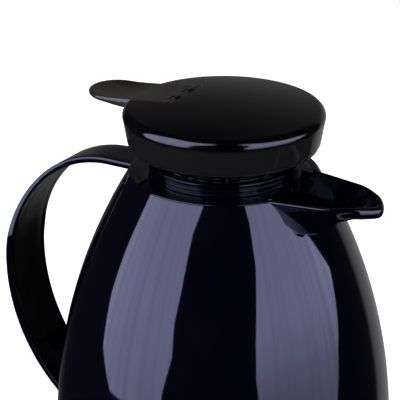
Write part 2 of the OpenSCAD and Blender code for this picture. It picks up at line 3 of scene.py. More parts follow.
import bmesh
import bpy
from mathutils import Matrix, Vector


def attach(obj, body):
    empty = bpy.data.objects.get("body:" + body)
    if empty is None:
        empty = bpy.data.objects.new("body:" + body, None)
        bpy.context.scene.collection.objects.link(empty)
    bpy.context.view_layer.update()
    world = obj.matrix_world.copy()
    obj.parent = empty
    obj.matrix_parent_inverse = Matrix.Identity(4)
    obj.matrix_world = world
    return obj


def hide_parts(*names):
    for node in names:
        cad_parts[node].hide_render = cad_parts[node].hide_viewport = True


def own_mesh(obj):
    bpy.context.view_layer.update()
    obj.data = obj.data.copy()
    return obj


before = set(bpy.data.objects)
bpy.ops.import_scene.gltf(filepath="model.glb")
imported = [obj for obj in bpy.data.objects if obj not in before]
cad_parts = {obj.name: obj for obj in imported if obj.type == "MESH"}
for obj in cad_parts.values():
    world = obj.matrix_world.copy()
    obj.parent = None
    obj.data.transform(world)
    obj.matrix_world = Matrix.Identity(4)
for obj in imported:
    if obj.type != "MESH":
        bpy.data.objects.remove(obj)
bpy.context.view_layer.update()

# ---- Moulded shell
# The egg-shaped outer shell is one injection moulding in navy ABS with a mirror finish. It is 2.5 mm thick, open at
# the neck and at the base, and has a notch for the spout, a slot for the handle's hook and two screw holes. The
# collar drops in from above and the base screws in from below.
body_r, belly_z, shoulder_z = 73.2, 74.0, 192.0
draw_up, draw_low = 32.55, 15.2     # how far the side draws in from the belly to the shoulder, and to the ground
upper_r = (draw_up ** 2 + (shoulder_z - belly_z) ** 2) / (2 * draw_up)
lower_r = (draw_low ** 2 + belly_z ** 2) / (2 * draw_low)
wall, foot_round, shell_lift = 2.5, 8.0, 1.2


def side_radius(z, inset=0.0):
    arc = upper_r if z >= belly_z else lower_r
    return body_r - arc + math.sqrt((arc - inset) ** 2 - (z - belly_z) ** 2)


def rounded(corners, steps=6):
    """Outline through corners (r, z, radius), with an arc at each corner that has a radius."""
    outline = []
    for i, (x, z, radius) in enumerate(corners):
        here = Vector((x, z))
        back, ahead = Vector(corners[i - 1][:2]) - here, Vector(corners[(i + 1) % len(corners)][:2]) - here
        if not radius or back.length < 1e-6 or ahead.length < 1e-6:
            outline.append((x, z))
            continue
        half = back.angle(ahead) / 2
        reach = min(radius / math.tan(half), back.length * 0.49, ahead.length * 0.49)
        turn = reach * math.tan(half)
        back.normalize()
        ahead.normalize()
        centre = here + (back + ahead).normalized() * (turn / math.sin(half))
        first, final = here + back * reach - centre, here + ahead * reach - centre
        swing = first.angle(final)
        for k in range(steps + 1):
            t = k / steps
            outline.append(tuple(centre + (first * math.sin((1 - t) * swing) + final * math.sin(t * swing))
                                 / math.sin(swing)))
    return outline


def turned(outline, turns=128, closed=True):
    """Points and faces of an outline (r, z) turned round the jug's axis."""
    rows = len(outline)
    points = [(r * math.cos(2 * math.pi * i / turns), r * math.sin(2 * math.pi * i / turns), z)
              for i in range(turns) for r, z in outline]
    faces = []
    for i in range(turns):
        n = (i + 1) % turns
        for j in range(rows if closed else rows - 1):
            k = (j + 1) % rows
            faces.append((i * rows + j, n * rows + j, n * rows + k, i * rows + k))
    return points, faces


def lofted(rings, closed_ring=True, caps=True):
    """Points and faces through rings of equal length."""
    rows = len(rings[0])
    points = [p for ring in rings for p in ring]
    faces = []
    for i in range(len(rings) - 1):
        for j in range(rows if closed_ring else rows - 1):
            k = (j + 1) % rows
            faces.append((i * rows + j, (i + 1) * rows + j, (i + 1) * rows + k, i * rows + k))
    if caps:
        faces.append(tuple(range(rows)))
        faces.append(tuple((len(rings) - 1) * rows + j for j in reversed(range(rows))))
    return points, faces


def joined(*shapes):
    points, faces = [], []
    for more_points, more_faces in shapes:
        base = len(points)
        points += more_points
        faces += [tuple(base + k for k in face) for face in more_faces]
    return points, faces


def shape_mesh(name, shape, sharp=35):
    points, faces = shape
    mesh = bpy.data.meshes.new(name)
    mesh.from_pydata([(x / 1000, y / 1000, z / 1000) for x, y, z in points], [], faces)
    work = bmesh.new()
    work.from_mesh(mesh)
    bmesh.ops.remove_doubles(work, verts=work.verts, dist=2e-6)
    bmesh.ops.dissolve_degenerate(work, edges=work.edges, dist=1e-6)
    bmesh.ops.recalc_face_normals(work, faces=work.faces)
    work.to_mesh(mesh)
    work.free()
    mesh.shade_smooth()
    mesh.set_sharp_from_angle(angle=math.radians(sharp))
    return mesh


def make_piece(name, shape, material, body, replaces=(), sharp=35):
    piece = bpy.data.objects.new(name, shape_mesh(name, shape, sharp))
    bpy.context.scene.collection.objects.link(piece)
    piece.data.materials.append(material)
    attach(piece, body)
    if replaces:
        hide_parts(*replaces)
    return piece


def work_on(piece, operation, mesh):
    """Cuts the mesh's solid out of a piece (DIFFERENCE) or joins it on (UNION), for good."""
    tool = bpy.data.objects.new("tool", mesh)
    bpy.context.scene.collection.objects.link(tool)
    step = piece.modifiers.new("step", "BOOLEAN")
    step.operation = operation
    step.solver = "EXACT"
    step.object = tool
    ready = bpy.data.meshes.new_from_object(piece.evaluated_get(bpy.context.evaluated_depsgraph_get()))
    piece.modifiers.clear()
    ready.name = piece.name
    piece.data = ready
    bpy.data.objects.remove(tool)


def cut_away(piece, *shapes):
    for shape in shapes:
        work_on(piece, "DIFFERENCE", shape_mesh("tool", shape))
    piece.data.shade_smooth()
    piece.data.set_sharp_from_angle(angle=math.radians(30))


def block(x0, x1, y0, y1, z0, z1):
    return lofted([[(x0, y0, z0), (x1, y0, z0), (x1, y1, z0), (x0, y1, z0)],
                   [(x0, y0, z1), (x1, y0, z1), (x1, y1, z1), (x0, y1, z1)]])


def new_material(name):
    material = bpy.data.materials.new(name)
    material.use_nodes = True
    nodes = material.node_tree.nodes
    nodes.clear()
    return material, nodes, material.node_tree.links


def moulding(name, deep, pale, gloss, grain=0.02, grain_scale=1400, patch=45, metal=0.0, tint=(1, 1, 1), ior=1.5,
             edge=0.0):
    """Finish with clouded colour, wiped patches of gloss and a fine mould grain."""
    material, nodes, links = new_material(name)
    place = nodes.new("ShaderNodeTexCoord")
    cloud = nodes.new("ShaderNodeTexNoise")
    cloud.inputs["Scale"].default_value = patch
    cloud.inputs["Detail"].default_value = 5
    links.new(place.outputs["Object"], cloud.inputs["Vector"])
    ramp = nodes.new("ShaderNodeValToRGB")
    ramp.color_ramp.elements[0].position = 0.3
    ramp.color_ramp.elements[0].color = (*deep, 1)
    ramp.color_ramp.elements[1].position = 0.7
    ramp.color_ramp.elements[1].color = (*pale, 1)
    links.new(cloud.outputs["Fac"], ramp.inputs["Fac"])
    wipe = nodes.new("ShaderNodeMapRange")
    wipe.inputs["From Min"].default_value = 0.3
    wipe.inputs["From Max"].default_value = 0.7
    wipe.inputs["To Min"].default_value = gloss * 0.8
    wipe.inputs["To Max"].default_value = gloss * 1.25
    links.new(cloud.outputs["Fac"], wipe.inputs["Value"])
    skin = nodes.new("ShaderNodeTexNoise")
    skin.inputs["Scale"].default_value = grain_scale
    skin.inputs["Detail"].default_value = 3
    links.new(place.outputs["Object"], skin.inputs["Vector"])
    relief = nodes.new("ShaderNodeBump")
    relief.inputs["Strength"].default_value = grain
    relief.inputs["Distance"].default_value = 0.0002
    links.new(skin.outputs["Fac"], relief.inputs["Height"])
    if edge:
        soft = nodes.new("ShaderNodeBevel")
        soft.inputs["Radius"].default_value = edge
        links.new(soft.outputs[0], relief.inputs["Normal"])
    shader = nodes.new("ShaderNodeBsdfPrincipled")
    shader.inputs["IOR"].default_value = ior
    shader.inputs["Metallic"].default_value = metal
    shader.inputs["Specular Tint"].default_value = (*tint, 1)
    links.new(ramp.outputs["Color"], shader.inputs["Base Color"])
    links.new(wipe.outputs["Result"], shader.inputs["Roughness"])
    links.new(relief.outputs["Normal"], shader.inputs["Normal"])
    out = nodes.new("ShaderNodeOutputMaterial")
    links.new(shader.outputs[0], out.inputs[0])
    return material


navy_gloss = moulding("navy_gloss", (0.0007, 0.0006, 0.0022), (0.0011, 0.0009, 0.0034), 0.045, grain=0.006,
                      grain_scale=260, tint=(0.86, 0.87, 1.0))

foot_x = body_r - lower_r + math.sqrt((lower_r - foot_round) ** 2 - (belly_z - shell_lift - foot_round) ** 2)
foot_z = shell_lift + foot_round


def shell_side(inset, top, rows_up=110, rows_low=70):
    """The shell's side from its top edge down to where the foot's corner ends."""
    line = []
    for k in range(rows_up):
        z = top + (belly_z - top) * k / rows_up
        line.append((side_radius(z, inset), z))
    low_turn = math.atan2(belly_z - foot_z, foot_x - (body_r - lower_r))
    for k in range(rows_low + 1):
        a = low_turn * k / rows_low
        line.append((body_r - lower_r + (lower_r - inset) * math.cos(a), belly_z - (lower_r - inset) * math.sin(a)))
    for k in range(1, 17):
        a = low_turn + (math.pi / 2 - low_turn) * k / 16
        line.append((foot_x + (foot_round - inset) * math.cos(a), foot_z - (foot_round - inset) * math.sin(a)))
    return line


lip = 0.5
outside = shell_side(0, shoulder_z - lip)
inside = list(reversed(shell_side(wall, shoulder_z - 0.2)))
brow = [(side_radius(shoulder_z) - lip * (1 - math.cos(math.pi / 2 * k / 5)),
         shoulder_z - lip + lip * math.sin(math.pi / 2 * k / 5)) for k in range(5, 0, -1)]
base_hole_r = 50.0
foot = [(base_hole_r + 0.6, shell_lift), (base_hole_r, shell_lift + 0.6), (base_hole_r, 14.2),
        (base_hole_r + 2, 14.2), (base_hole_r + 2, 3.7)]
shell_outline = [(side_radius(shoulder_z, wall) + 0.2, shoulder_z)] + brow + outside + foot + inside
shell = make_piece("outer_shell", turned(shell_outline, 288), navy_gloss, "jug", ["body_shell"])

# ---- Pouring spout
# The beak spout is moulded in one with the collar in the same navy ABS. Its flat flanks meet a rounded keel, its rim
# is a rolled bead 2.2 mm wide, and round the tip it swells into a drip lip 5 mm high that slopes down to its end.
reach, half_w, spout_root = 75.6, 21.5, 28.8
spout_wall, channel_floor = 2.2, 178.0
keel_low, keel_tip = 174.2, 187.0
keel_x = side_radius(keel_low)


def smooth(t):
    t = min(1.0, max(0.0, t))
    return t * t * (3 - 2 * t)


def rim_point(u):
    start, bend = (57.0, half_w * 0.785), (64.4, half_w * 0.71)
    if u < 0.4:
        t = u / 0.4
        return Vector((spout_root + (start[0] - spout_root) * t, half_w * 1.03 + (start[1] - half_w * 1.03) * t))
    t = (u - 0.4) / 0.6
    weights = ((1 - t) ** 3, 3 * t * (1 - t) ** 2, 3 * t * t * (1 - t), t ** 3)
    knots = (start, bend, (reach - 0.5, half_w * 0.29), (reach, 0.0))
    return Vector((sum(w * k[0] for w, k in zip(weights, knots)), sum(w * k[1] for w, k in zip(weights, knots))))


def rim_inward(u):
    if u > 0.9999:
        return Vector((-1.0, 0.0))
    along = rim_point(min(1, u + 0.002)) - rim_point(max(0, u - 0.002))
    return Vector((along.y, -along.x)).normalized()


def rim_height(x):
    return shoulder_z - max(0.0, (x - 68.5) / 8) ** 2 * 1.3


def keel_height(x):
    if x < keel_x:
        return keel_low + min(1.6, (keel_x - x) / 2)
    return keel_tip - (keel_tip - keel_low) * (max(0.0, 72 - x) / (72 - keel_x)) ** 1.6


def bent(first, corner, final, share_in, share_out, steps=6):
    """Quadratic turn round a corner between two straight runs."""
    a, c = corner.lerp(first, share_in), corner.lerp(final, share_out)
    return [a.lerp(corner, t).lerp(corner.lerp(c, t), t) for t in (k / steps for k in range(steps + 1))]


def spout_line(u, inner, grow=0.0):
    """One side of the spout's skin, from the rim's middle to the keel: inside or outside, grown for the notch."""
    rim, inward = rim_point(u), rim_inward(u)
    x, top = rim.x, rim_height(rim.x)
    lipped = smooth((x - 66.5) / 4.5)
    flare = 0.60 * min(1.0, max(0.0, (70 - x) / 8))
    room = 0.72 * (rim.y / max(1e-6, -inward.y)) if inward.y < -0.08 else 99
    at = lambda off, z: Vector((rim.x + inward.x * off, max(0.0, rim.y + inward.y * off), z))
    if inner:
        floor = max(keel_height(x) + spout_wall, channel_floor)
        bend_z = floor + 0.25 * (shoulder_z - floor)
        off = min(2.3 + (0.473 * (1 - lipped) + 0.9 * lipped) * (top - 1 - bend_z), room)
        line = [at(1.1 + 1.1 * math.sin(a), top - 1 + math.cos(a)) for a in (math.pi / 2 * k / 5 for k in range(6))]
        corner = at(off, bend_z)
        keel = Vector((corner.x, 0, max(keel_height(corner.x) + spout_wall, channel_floor)))
        run, share = line[-1], min(0.8, 4.0 / max(corner.y, 0.1))
    else:
        low = keel_height(x)
        bend_z = low + 0.05 * (shoulder_z - low)
        off = min(0.6 + flare * (shoulder_z - 1.8 - bend_z), room) - grow
        line = [at(1.1 - (1.1 + grow) * math.sin(a), top - 1 + math.cos(a))
                for a in (math.pi / 2 * k / 5 for k in range(6))]
        line += [at(-grow, top - 1.3), at(0.6 - grow, top - 1.9)]
        corner = at(off, bend_z)
        keel = Vector((corner.x, 0, keel_height(corner.x) - grow))
        run, share = line[-1], min(0.8, 2.6 / max(corner.y, 0.1))
    length = max((corner - run).length, 0.1)
    turn = bent(run, corner, keel, min(0.5, 2.6 / length), share)
    steps_down = [run.lerp(turn[0], t) for t in (0.33, 0.66)]
    steps_in = [turn[-1].lerp(keel, t) for t in (0.33, 0.66)]
    line = line + steps_down + turn + steps_in + [keel]
    if inner or lipped == 0:
        return line
    # Round the tip the flank turns into a thick roll
    bead = [at(min(1.2 - (2.1 + grow) * abs(math.cos(a)) ** 0.7, room), top - 2.5 + 2.5 * math.sin(a))
            for a in (math.pi / 2 - math.pi * 0.94 * k / 14 for k in range(15))]
    under = Vector((bead[-1].x, 0, max(bead[-1].z + 0.1, keel_height(x) - grow)))
    bead += [bead[-1].lerp(under, t) for t in (0.2, 0.4, 0.6, 0.8, 1.0)]
    return [a.lerp(b, lipped) for a, b in zip(line, bead)]


def mirrored(line):
    return [Vector((p.x, -p.y, p.z)) for p in line]


stations = [k / 30 * 0.4 for k in range(30)] + [0.4 + 0.6 * k / 70 for k in range(71)]
rings = []
for u in stations:
    out_line, in_line = spout_line(u, False), spout_line(u, True)
    right = in_line[::-1] + out_line[1:]
    rings.append([tuple(p) for p in right] + [tuple(p) for p in mirrored(right)[-2:0:-1]])
count = len(rings[0])
spout_points, spout_faces = lofted(rings, caps=False)
# The root's two halves are closed by one face each
spout_faces += [tuple(range(count // 2 + 1)), (0, *range(count // 2, count))]

# Collar: the ledge inside the shell's top edge and the sleeve that holds the neck ring
collar_outline = rounded([(31.1, 175.8, 0.3), (33.1, 175.8, 0.3), (33.1, 189.9, 0.3), (38.05, 189.9, 0.2),
                          (38.05, 191.85, 0.3), (31.1, 191.85, 0.2)], 3)
collar = make_piece("pouring_collar", turned(collar_outline, 192), navy_gloss, "jug", ["spout_collar"])
sleeve_r = 33.12
mouth = [(sleeve_r * math.cos(a), sleeve_r * math.sin(a)) for a in (math.radians(-33 + 66 * k / 16) for k in range(17))]
mouth += [(60.0, 14.5), (60.0, -14.5)]
cut_away(collar, lofted([[(x, y, z) for x, y in mouth] for z in (180, 195)]))
make_piece("pouring_spout", (spout_points, spout_faces), navy_gloss, "jug", sharp=40)
# The shell's notch follows the spout's outside with a gap of 0.12 mm
notch_rings = []
for u in stations[:38]:
    line = spout_line(u, False, grow=0.12)[6:]
    side = [Vector((line[0].x, line[0].y, 199))] + line
    notch_rings.append([tuple(p) for p in side] + [tuple(p) for p in mirrored(side)[-2::-1]])
hook_slot = block(-60, -33, -9.4, 9.4, 186.65, 189.85)
screw_z, screw_sides = 77, (-6.5, 6.5)
points, faces = turned([(0, -80), (1.85, -80), (1.85, -60), (0, -60)], 24, closed=False)
screw_ways = [([(z, y + side, x + screw_z) for x, y, z in points], faces) for side in screw_sides]
cut_away(shell, lofted(notch_rings), hook_slot, *screw_ways)

# ---- Neck ring
# The navy ring pressed into the collar is the neck that the closure screws into. It has a grip bead at its foot, one
# in the middle and a rolled rim. Inside are four steep ridges that the stopper's own ridges run on.
def screw_ridge(root, tip, width, low, high, lead, start, fade=9):
    """Ridge that climbs round the axis, with ends that run out into the wall."""
    swing = (high - low) / lead * 360
    rings = []
    for k in range(49):
        a = math.radians(start + swing * k / 48)
        z = low + (high - low) * k / 48
        rise = min(1.0, swing * min(k, 48 - k) / 48 / fade + 0.05)
        crest = root + (tip - root) * rise
        rings.append([(r * math.cos(a), r * math.sin(a), z + up)
                      for r, up in ((root, -width / 2), (crest, -width / 4), (crest, width / 4), (root, width / 2))])
    return lofted(rings)


navy_satin = moulding("navy_satin", (0.0007, 0.0006, 0.0022), (0.0011, 0.0009, 0.0034), 0.10, grain=0.02,
                      grain_scale=260, tint=(0.86, 0.87, 1.0), ior=1.32)
ring_outline = rounded([(20, 164.5, 0.4), (31, 164.5, 0.4), (31, 191.95, 0), (32.1, 191.95, 0.1), (32.1, 192.9, 0.12),
                        (31.4, 192.95, 0.05), (31.4, 194.1, 0.05), (32.1, 194.1, 0.12), (32.1, 195, 0.12),
                        (31.4, 195, 0.05), (31.4, 195.9, 0.05), (32.5, 195.9, 0.3), (32.5, 197.65, 0.3),
                        (28, 197.65, 0.8), (28, 167, 0.3), (20, 167, 0.4)], 4)
make_piece("neck_bush", joined(turned(ring_outline, 192),
                               *[screw_ridge(28.3, 26.75, 3.0, 171.5, 189, 30, 90 * k) for k in range(4)]),
           navy_satin, "jug", ["neck_ring"])

# ---- Handle strap
# The broad strap is one navy moulding 2.9 mm thick. It hooks through the shell under the ledge, sweeps out in three
# arcs that meet without a corner, and ends in a solid heel screwed to the shell from inside.
strap_t, bend_z = 2.9, 132.98
arcs = [(Vector((-53.52, 139.7)), 50.0, 90, 135, 26), (Vector((-46.8, bend_z)), 59.5, 135, 180, 26),
        (Vector((-27.3, bend_z)), 79.0, 180, 243.96, 38)]


def strap_line(from_x=-36.15, low_z=62.0):
    """Outer face of the strap in side view with its inward normals."""
    line = []
    if from_x > -53:
        line = [(Vector((from_x + (-53.52 - from_x) * k / 6, 189.7)), Vector((0, -1))) for k in range(6)]
    for centre, radius, first, final, steps in arcs:
        for k in range(steps):
            a = math.radians(first + (final - first) * k / steps)
            out_way = Vector((math.cos(a), math.sin(a)))
            if (centre + out_way * radius).y > low_z:
                line.append((centre + out_way * radius, -out_way))
    a = math.pi + math.asin((bend_z - low_z) / 79.0)
    out_way = Vector((math.cos(a), math.sin(a)))
    line.append((arcs[2][0] + out_way * 79.0, -out_way))
    return line


def strap_half(z):
    """The strap tapers from the middle of the grip up to the hook."""
    return 13.5 - 4.25 * min(1.0, max(0.0, (z - 143.0) / 40.7))


def strap_ring(point, inward, section):
    """Section (y, depth) laid across the strap and mirrored."""
    side = [(point.x + inward.x * d, y, point.y + inward.y * d) for y, d in section]
    return side + [(x, -y, z) for x, y, z in reversed(side)]


def quarter(y, d, radius, first, steps=5):
    return [(y + radius * math.cos(math.radians(first + 90 * k / steps)),
             d - radius * math.sin(math.radians(first + 90 * k / steps))) for k in range(steps + 1)]


recess = 1.2
strap_rings = []
for point, inward in strap_line():
    half = strap_half(point.y)
    # The inlay's recess runs from behind the hook to the heel
    deep = recess * smooth((-point.x - 52.5) / 1.2) * (1 if point.y > 92 else 0)
    if deep > 0.2:
        section = [(half - 3 + 0.002, strap_t - deep), (half - 3, strap_t - 0.12)]
    else:
        section = [(half - 3.2, strap_t), (half - 3.1, strap_t)]
    section += [(half - 2.85, strap_t), (half - 1.8, strap_t)]
    section += quarter(half - 0.5, strap_t - 0.5, 0.5, 270) + quarter(half - 0.7, 0.7, 0.7, 0)
    section += [(half * 0.5, 0.0)]
    strap_rings.append(strap_ring(point, inward, section))
strap = make_piece("strap_handle", lofted(strap_rings), navy_gloss, "jug", ["handle_strap"])


def side_plate(line, half, edge, steps=4):
    """Solid from a closed side view (x, z), 2 * half wide, with rounded edges."""
    count = len(line)
    inner = []
    for i in range(count):
        before, here, after = Vector(line[i - 1]), Vector(line[i]), Vector(line[(i + 1) % count])
        way = (here - before).normalized() + (after - here).normalized()
        inner.append(Vector((-way.y, way.x)).normalized())
    area = sum(line[i - 1][0] * line[i][1] - line[i][0] * line[i - 1][1] for i in range(count))
    turn = 1 if area > 0 else -1
    rings = []
    for side in (-1, 1):
        for k in range(steps + 1):
            a = math.pi / 2 * (k if side < 0 else steps - k) / steps
            off = edge * (1 - math.sin(a)) * turn
            rings.append([(x + n.x * off, side * (half - edge + edge * math.cos(a)), z + n.y * off)
                          for (x, z), n in zip(line, inner)])
    return lofted(rings)


heel_line = [(p.x, p.y) for p, n in strap_line(-60) if p.y < 92.5]
heel_line += [(-80, 62.0), (-66, 62.0), (-66, 92.0)]
heel_line += [(-82.31 + 9.11 * math.cos(a), 92 - 9.11 * math.sin(a)) for a in (math.pi * k / 20 for k in range(21))]
heel_line += [(-93.0, 92.4)]
heel = make_piece("heel", side_plate(heel_line, 13.5, 0.7), navy_gloss, "jug")
cut_away(heel, turned([(0, 40)] + [(side_radius(z) + 0.02, z) for z in range(40, 101, 2)] + [(0, 100)], 288,
                      closed=False))
work_on(strap, "UNION", heel.data)
bpy.data.objects.remove(heel)
points, faces = turned([(0, -8), (1.55, -8), (1.55, 6.8), (0, 6.8)], 24, closed=False)
cut_away(strap, *[([(-73 - z, y + side, x + screw_z) for x, y, z in points], faces) for side in screw_sides])

# ---- Handle inlay
# A strip of satin black plastic closes the strap's inner face. It lies 0.1 mm below the strap's margins in a recess
# 1.2 mm deep and is held by its bent shape and a line of adhesive.
satin_black = moulding("satin_black", (0.0025, 0.0024, 0.0026), (0.0045, 0.0042, 0.0044), 0.26, grain=0.12, patch=70,
                       ior=1.38)
inlay_rings = []
for point, inward in strap_line(-60, 92.1):
    half = strap_half(point.y) - 3.1
    section = [(half * 0.5, strap_t - recess), (half, strap_t - recess)]
    section += quarter(half - 0.25, strap_t - 0.35, 0.25, 270)[::-1] + [(half * 0.5, strap_t - 0.1)]
    inlay_rings.append(strap_ring(point, inward, section))
make_piece("inlay_strip", lofted(inlay_rings), satin_black, "jug", ["handle_inlay"])

# ---- Handle screws
# Two pan-head screws of stainless steel reach from inside the shell into the heel. Each has a cross recess and a
# coarse thread for plastic. They are driven before the glass liner goes in.
steel = moulding("turned_steel", (0.46, 0.46, 0.47), (0.60, 0.60, 0.61), 0.24, grain=0.05, grain_scale=900, patch=120,
                 metal=1.0)
thread = [(0, -5.7), (2.4, -5.7), (3.3, -5.2), (3.5, -4.4), (3.5, -3.5), (1.35, -3.5), (1.35, 0.2)]
for k in range(9):
    thread += [(1.35, 0.35 + 0.6 * k), (1.55, 0.5 + 0.6 * k), (1.35, 0.65 + 0.6 * k)]
thread += [(1.2, 5.6), (0, 6.0)]
for side, label in zip(screw_sides, ("right", "left")):
    points, faces = turned(thread, 32, closed=False)
    screw = make_piece("strap_screw_" + label, ([(-body_r - z, y + side, x + screw_z) for x, y, z in points], faces),
                       steel, "jug", ["handle_screws"])
    cut_away(screw, block(-68.9, -66, side - 1.9, side + 1.9, 76.6, 77.4),
             block(-68.9, -66, side - 0.4, side + 0.4, 75.1, 78.9))

# ---- Glass liner
# Two walls of blown borosilicate glass with silvered inner sides stand inside the shell, apart by 3 mm. The outer one
# ends in the sealed tip below, and three pads keep the walls apart.
def dress(material, *names):
    """Gives the construction's own pieces their finish."""
    for name in names:
        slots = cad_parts[name].data.materials
        slots.clear()
        slots.append(material)


silvered = moulding("silvered_glass", (0.62, 0.64, 0.66), (0.74, 0.75, 0.76), 0.06, grain=0.01, patch=18, metal=1.0)
dress(silvered, "glass_outer", "glass_inner")

# ---- Seals and cushion
# Translucent grey silicone seals the glass mouth, the closure and the valve, and spaces the glass walls. The liner's
# tip stands in a cup of black rubber.
silicone = moulding("grey_silicone", (0.36, 0.37, 0.38), (0.46, 0.47, 0.48), 0.42, grain=0.1, patch=60, edge=0.0003)
rubber = moulding("black_rubber", (0.012, 0.012, 0.012), (0.022, 0.021, 0.02), 0.62, grain=0.3, grain_scale=900,
                  patch=90, edge=0.0004)
dress(silicone, "spacer_pads", "neck_seal", "stem_seal", "valve_seal")
dress(rubber, "liner_cushion")

# ---- Base
# The base screws into the shell's lower opening and carries the liner. It is a black moulding with six holes for a
# pin key, and a ribbed rubber pad is let into its underside.
inner_black = moulding("inner_black", (0.008, 0.008, 0.008), (0.015, 0.0145, 0.014), 0.3, grain=0.08, patch=55,
                       edge=0.0003)
dress(inner_black, "base_cup")
pad_outline = [(0, 1.6), (43.6, 1.6), (44.0, 1.3), (44.0, 0.3), (43.7, 0.0)]
for k in range(7):
    r = 42.2 - 4.2 * k
    pad_outline += [(r + 0.5, 0.0), (r + 0.35, 0.55), (r - 0.35, 0.55), (r - 0.5, 0.0)]
pad_outline += [(0, 0.0)]
make_piece("ribbed_foot", turned(pad_outline, 160, closed=False), rubber, "jug", ["foot_pad"])

# ---- Closure seal
# The soft gasket under the stopper is a ring of grey silicone with two thin lips that press on the neck's seat. It
# hangs on the stopper's foot: it lifts with the closure, but stands still while the closure turns.
seal_outline = rounded([(20.8, 170, 0.3), (20.8, 167.6, 0.3), (21.9, 167.0, 0.3), (22.6, 167.5, 0.3),
                        (24.2, 167.5, 0.3), (25.0, 167.0, 0.3), (26.2, 167.2, 0.4), (26.4, 168.4, 0.3),
                        (25.7, 169.1, 0.3), (26.4, 170, 0.2)], 3)
make_piece("gasket", turned(seal_outline, 144), silicone, "seal", ["closure_seal"])

# ---- Stopper
# The black stopper screws into the neck. Ten fins carry the deck under the cap, and the drink runs out between them.
# Its boss guides the valve rod, and four ridges on its skirt run on those of the neck.
closure_black = moulding("closure_black", (0.0004, 0.0004, 0.0008), (0.0010, 0.0009, 0.0013), 0.12, grain=0.03,
                         patch=48, edge=0.0007)
stopper_outline = rounded([(18, 170, 0.2), (27.3, 170, 0.6), (27.3, 172.4, 0.3), (26.4, 173.2, 0.3), (26.4, 191, 0.3),
                           (27.4, 191.8, 0.3), (27.4, 197.6, 0.5), (24.6, 197.6, 0.5), (24.6, 172.5, 0.8),
                           (18, 172.5, 0.2)], 3)
deck_outline = rounded([(2.58, 192, 0.2), (4.18, 192, 0.4), (4.18, 205, 0.6), (39.1, 205, 0.3), (39.1, 207, 0.3),
                        (6.18, 207, 0.5), (6.18, 209.5, 0.3), (4.78, 209.5, 0.3), (4.78, 207, 0.2),
                        (2.58, 207, 0.2)], 3)
fin_line = rounded([(24.62, 197.3, 0), (27.35, 197.3, 0), (27.35, 198.95, 0.8), (33.8, 198.95, 1.0), (33.8, 205.2, 0),
                    (24.62, 205.2, 0)], 4)
fins = []
for k in range(10):
    a = math.radians((k + 0.5) * 36)
    points, faces = side_plate(fin_line, 1.2, 0.3, 3)
    fins.append(([(x * math.cos(a) - y * math.sin(a), x * math.sin(a) + y * math.cos(a), z) for x, y, z in points],
                 faces))
make_piece("stopper_cup", joined(turned(stopper_outline, 160), turned(deck_outline, 160), *fins,
                                 *[screw_ridge(26.3, 27.7, 2.6, 174.5, 189.5, 30, 45 + 90 * k) for k in range(4)]),
           closure_black, "closure", ["stopper"])
dress(inner_black, "valve_seat")

# ---- Cap
# The domed cap is moulded in black ABS and snapped onto the deck. Its band draws in below the widest edge, and a
# recess from the middle to the rear takes the lever between two hinge knuckles.
cap_black = moulding("cap_black", (0.0004, 0.0004, 0.0008), (0.0010, 0.0009, 0.0013), 0.12, grain=0.03, patch=48,
                     edge=0.0007)
nodes, links = cap_black.node_tree.nodes, cap_black.node_tree.links
place = nodes.new("ShaderNodeTexCoord")
split = nodes.new("ShaderNodeSeparateXYZ")
links.new(place.outputs["Object"], split.inputs[0])
# Below the widest edge the band is painted a little paler: a painted sheen in place of the reflection it catches
painted_band_mask = nodes.new("ShaderNodeMapRange")
painted_band_mask.inputs["From Min"].default_value = 0.2170
painted_band_mask.inputs["From Max"].default_value = 0.2155
links.new(split.outputs["Z"], painted_band_mask.inputs["Value"])
shader = next(n for n in nodes if n.type == "BSDF_PRINCIPLED")
# The paler colour mixed in here is the band's painted sheen, not a different plastic
painted_band_sheen_and_lever_satin = nodes.new("ShaderNodeMix")
painted_band_sheen_and_lever_satin.data_type = "RGBA"
painted_band_sheen_and_lever_satin.inputs[7].default_value = (0.0062, 0.0060, 0.0064, 1)
links.new(painted_band_mask.outputs["Result"], painted_band_sheen_and_lever_satin.inputs[0])
links.new(shader.inputs["Base Color"].links[0].from_socket, painted_band_sheen_and_lever_satin.inputs[6])
links.new(painted_band_sheen_and_lever_satin.outputs[2], shader.inputs["Base Color"])
dress(cap_black, "cap")

# ---- Hinge pin
# A ground pin of stainless steel is pressed through the cap's knuckles and carries the lever. It is cut from drawn
# wire and keeps the finish of the grinding.
dress(steel, "lever_pin")

# ---- Return spring
# A coil of stainless wire 1.1 mm thick stands round the guide, between the valve's plate and the deck, and pushes the
# valve shut. It is wound with 7.5 free turns, and its end turns lie flat.
wire_r, coil_r, turns_up, flat_turns = 0.55, 5.15, 7.5, 2
spring_low, spring_high = 176.56, 205.0
coil, steps = [], 420
for k in range(steps + 1):
    t = k / steps
    a = 2 * math.pi * (turns_up + flat_turns) * t
    climb = min(1.0, max(0.0, ((turns_up + flat_turns) * t - flat_turns / 2) / turns_up))
    z = spring_low + wire_r + (spring_high - spring_low - 2 * wire_r) * climb
    centre, out_way = Vector((coil_r * math.cos(a), coil_r * math.sin(a), z)), Vector((math.cos(a), math.sin(a), 0))
    coil.append([tuple(centre + out_way * wire_r * math.cos(b) + Vector((0, 0, wire_r * math.sin(b))))
                 for b in (2 * math.pi * j / 12 for j in range(12))])
spring = make_piece("coil_spring", lofted(coil), steel, "closure", ["return_spring"])
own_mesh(spring)

